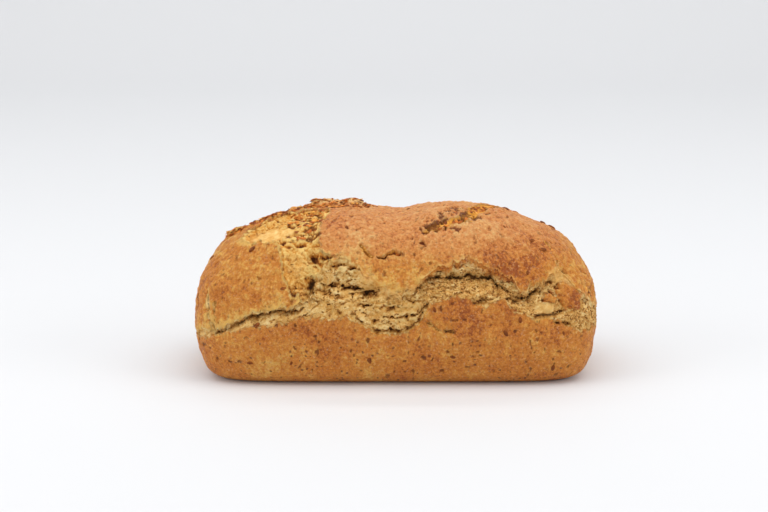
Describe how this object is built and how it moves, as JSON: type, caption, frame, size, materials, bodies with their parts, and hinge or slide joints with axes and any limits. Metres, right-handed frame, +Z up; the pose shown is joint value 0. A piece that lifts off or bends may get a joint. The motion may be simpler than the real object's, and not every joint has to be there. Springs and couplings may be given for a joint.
{
  "type": "spelt bread loaf",
  "caption": "Whole spelt loaf baked in a tin: smooth tapered sides, a torn band of crumb all round under a domed, cracked top crust.",
  "frame": {"origin": "on the table under the middle of the loaf's box", "axes": "+X along the loaf, +Z up, -Y out of the side with the widest tear"},
  "size_m": [0.2502, 0.1088, 0.1046],
  "materials": {
    "crust": "matt, dry and uneven"
  },
  "bodies": {
    "root": {"loaf": "crust"}
  },
  "joints": []
}
